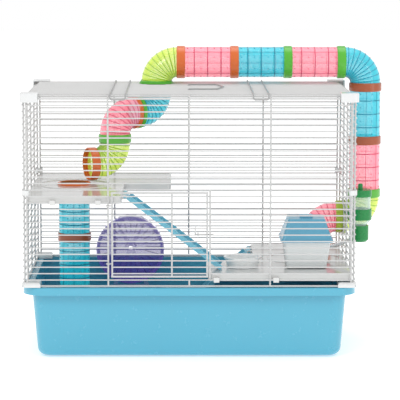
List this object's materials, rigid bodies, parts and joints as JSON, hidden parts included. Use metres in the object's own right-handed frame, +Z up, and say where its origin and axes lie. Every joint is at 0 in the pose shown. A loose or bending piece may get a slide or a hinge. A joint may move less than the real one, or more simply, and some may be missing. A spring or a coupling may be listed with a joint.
{
  "type": "hamster cage",
  "caption": "Wire cage on a deep plastic tray, with shelves, ramps, a running wheel, a hut, a bowl, a water bottle and clip-together crawling tubes inside and out.",
  "frame": {"origin": "middle of the tray's underside, on the surface it stands on", "axes": "+X to the right as seen from the front door, +Y to the back, +Z up"},
  "size_m": [0.6577, 0.3663, 0.5401],
  "materials": {
    "base_tray": "moulded, smooth",
    "front_panel": "white coated wire",
    "back_panel": "white coated wire",
    "left_panel": "white coated wire",
    "right_panel": "white coated wire",
    "roof_panel": "white coated wire",
    "front_door": "white coated wire",
    "door_latch": "white coated wire",
    "carry_handle": "white coated wire",
    "roof_clasp_left": "white coated wire",
    "roof_clasp_right": "white coated wire",
    "corner_caps": "moulded",
    "wall_clips": "moulded",
    "corner_feet": "moulded",
    "upper_shelf": "moulded, glossy",
    "lower_shelf": "moulded, glossy",
    "upper_ramp": "moulded",
    "lower_ramp": "moulded",
    "exercise_wheel": "moulded, tinted",
    "wheel_bracket": "moulded",
    "hut_body": "moulded",
    "hut_roof": "moulded",
    "food_bowl": "moulded",
    "top_tube_1": "clear tinted",
    "top_tube_2": "clear tinted",
    "top_tube_3": "clear tinted",
    "side_tube_1": "clear tinted",
    "side_tube_2": "clear tinted",
    "column_tube_1": "clear tinted",
    "column_tube_2": "clear tinted",
    "roof_elbow": "clear tinted",
    "corner_elbow": "clear tinted",
    "side_elbow": "clear tinted",
    "drop_elbow_1": "clear tinted",
    "drop_elbow_2": "clear tinted",
    "mouth_elbow": "clear tinted",
    "side_mouth_elbow": "clear tinted",
    "top_ring_1": "moulded",
    "top_ring_2": "moulded",
    "top_ring_3": "moulded",
    "top_ring_4": "moulded",
    "side_ring_1": "moulded",
    "side_ring_2": "moulded",
    "side_ring_3": "moulded",
    "drop_ring_1": "moulded",
    "drop_ring_2": "moulded",
    "drop_ring_3": "moulded",
    "mouth_ring": "moulded",
    "column_ring_1": "moulded",
    "column_ring_2": "moulded",
    "column_ring_3": "moulded",
    "side_mouth_ring": "moulded",
    "roof_flange": "moulded",
    "side_flange": "moulded",
    "bottle_body": "clear",
    "bottle_top_cap": "moulded",
    "bottle_neck_cap": "moulded",
    "bottle_holder": "moulded",
    "bottle_spout": "polished steel",
    "bottle_ball": "polished steel"
  },
  "bodies": {
    "tray": {"base_tray": "base_tray"},
    "cage": {"front_panel": "front_panel", "back_panel": "back_panel", "left_panel": "left_panel", "right_panel": "right_panel", "roof_panel": "roof_panel", "corner_caps": "corner_caps", "wall_clips": "wall_clips", "corner_feet": "corner_feet", "upper_shelf": "upper_shelf", "lower_shelf": "lower_shelf", "wheel_bracket": "wheel_bracket", "top_tube_1": "top_tube_1", "top_tube_2": "top_tube_2", "top_tube_3": "top_tube_3", "side_tube_1": "side_tube_1", "side_tube_2": "side_tube_2", "column_tube_1": "column_tube_1", "column_tube_2": "column_tube_2", "roof_elbow": "roof_elbow", "corner_elbow": "corner_elbow", "side_elbow": "side_elbow", "top_ring_1": "top_ring_1", "top_ring_2": "top_ring_2", "top_ring_3": "top_ring_3", "top_ring_4": "top_ring_4", "side_ring_1": "side_ring_1", "side_ring_2": "side_ring_2", "side_ring_3": "side_ring_3", "column_ring_1": "column_ring_1", "column_ring_2": "column_ring_2", "column_ring_3": "column_ring_3", "roof_flange": "roof_flange", "side_flange": "side_flange"},
    "door": {"front_door": "front_door"},
    "latch": {"door_latch": "door_latch"},
    "handle": {"carry_handle": "carry_handle"},
    "left_clasp": {"roof_clasp_left": "roof_clasp_left"},
    "right_clasp": {"roof_clasp_right": "roof_clasp_right"},
    "ramp_up": {"upper_ramp": "upper_ramp"},
    "ramp_down": {"lower_ramp": "lower_ramp"},
    "wheel": {"exercise_wheel": "exercise_wheel"},
    "drop": {"drop_elbow_1": "drop_elbow_1", "drop_ring_1": "drop_ring_1", "drop_ring_2": "drop_ring_2", "drop_elbow_2": "drop_elbow_2", "drop_ring_3": "drop_ring_3"},
    "mouth": {"mouth_elbow": "mouth_elbow", "mouth_ring": "mouth_ring"},
    "side_mouth": {"side_mouth_elbow": "side_mouth_elbow", "side_mouth_ring": "side_mouth_ring"},
    "hut": {"hut_body": "hut_body"},
    "hut_lid": {"hut_roof": "hut_roof"},
    "bowl": {"food_bowl": "food_bowl"},
    "bottle": {"bottle_body": "bottle_body", "bottle_top_cap": "bottle_top_cap", "bottle_neck_cap": "bottle_neck_cap", "bottle_spout": "bottle_spout", "bottle_holder": "bottle_holder"},
    "ball": {"bottle_ball": "bottle_ball"}
  },
  "joints": [
    {"name": "cage_lift", "type": "slide", "parent": "tray", "child": "cage", "axis": [0, 0, 1], "range_m": [0, 0.4]},
    {"name": "door_hinge", "type": "hinge", "parent": "cage", "child": "door", "pos_m": [-0.1425, -0.173, 0.223], "axis": [0, 0, -1], "range_deg": [0, 110]},
    {"name": "latch_slide", "type": "slide", "parent": "door", "child": "latch", "axis": [-1, 0, 0], "range_m": [0, 0.012]},
    {"name": "handle_hinge", "type": "hinge", "parent": "cage", "child": "handle", "pos_m": [0, -0.005, 0.4667], "axis": [0, -1, 0], "range_deg": [0, 100]},
    {"name": "left_clasp_hinge", "type": "hinge", "parent": "cage", "child": "left_clasp", "pos_m": [-0.125, 0.165, 0.4667], "axis": [-1, 0, 0], "range_deg": [0, 95]},
    {"name": "right_clasp_hinge", "type": "hinge", "parent": "cage", "child": "right_clasp", "pos_m": [0.125, 0.165, 0.4667], "axis": [-1, 0, 0], "range_deg": [0, 5]},
    {"name": "ramp_up_hinge", "type": "hinge", "parent": "cage", "child": "ramp_up", "pos_m": [-0.114, -0.118, 0.28752], "axis": [0, -1, 0], "range_deg": [0, 38]},
    {"name": "ramp_down_hinge", "type": "hinge", "parent": "cage", "child": "ramp_down", "pos_m": [0.114, 0.118, 0.15052], "axis": [0, 1, 0], "range_deg": [0, 22]},
    {"name": "wheel_spin", "type": "hinge", "parent": "cage", "child": "wheel", "pos_m": [-0.111, 0.127, 0.153], "axis": [0, 1, 0], "continuous": true},
    {"name": "drop_swivel", "type": "hinge", "parent": "cage", "child": "drop", "pos_m": [-0.061, 0.104, 0.4636], "axis": [0, 0, -1], "range_deg": [0, 25]},
    {"name": "mouth_swivel", "type": "hinge", "parent": "drop", "child": "mouth", "pos_m": [-0.13727, 0.05255, 0.371], "axis": [0, 0, -1], "range_deg": [0, 60]},
    {"name": "side_mouth_swivel", "type": "hinge", "parent": "cage", "child": "side_mouth", "pos_m": [0.285, 0.104, 0.2176], "axis": [1, 0, 0], "range_deg": [-60, 60]},
    {"name": "hut_lift", "type": "slide", "parent": "cage", "child": "hut", "axis": [0, 0, 1], "range_m": [0, 0.12]},
    {"name": "hut_lid_lift", "type": "slide", "parent": "hut", "child": "hut_lid", "axis": [0, 0, 1], "range_m": [0, 0.06]},
    {"name": "bowl_lift", "type": "slide", "parent": "cage", "child": "bowl", "axis": [0, 0, 1], "range_m": [0, 0.1]},
    {"name": "bottle_slide", "type": "slide", "parent": "cage", "child": "bottle", "axis": [0.9397, 0, 0.342], "range_m": [0, 0.07]},
    {"name": "ball_slide", "type": "slide", "parent": "bottle", "child": "ball", "axis": [0.9397, 0, 0.342], "range_m": [0, 0.0015]}
  ]
}
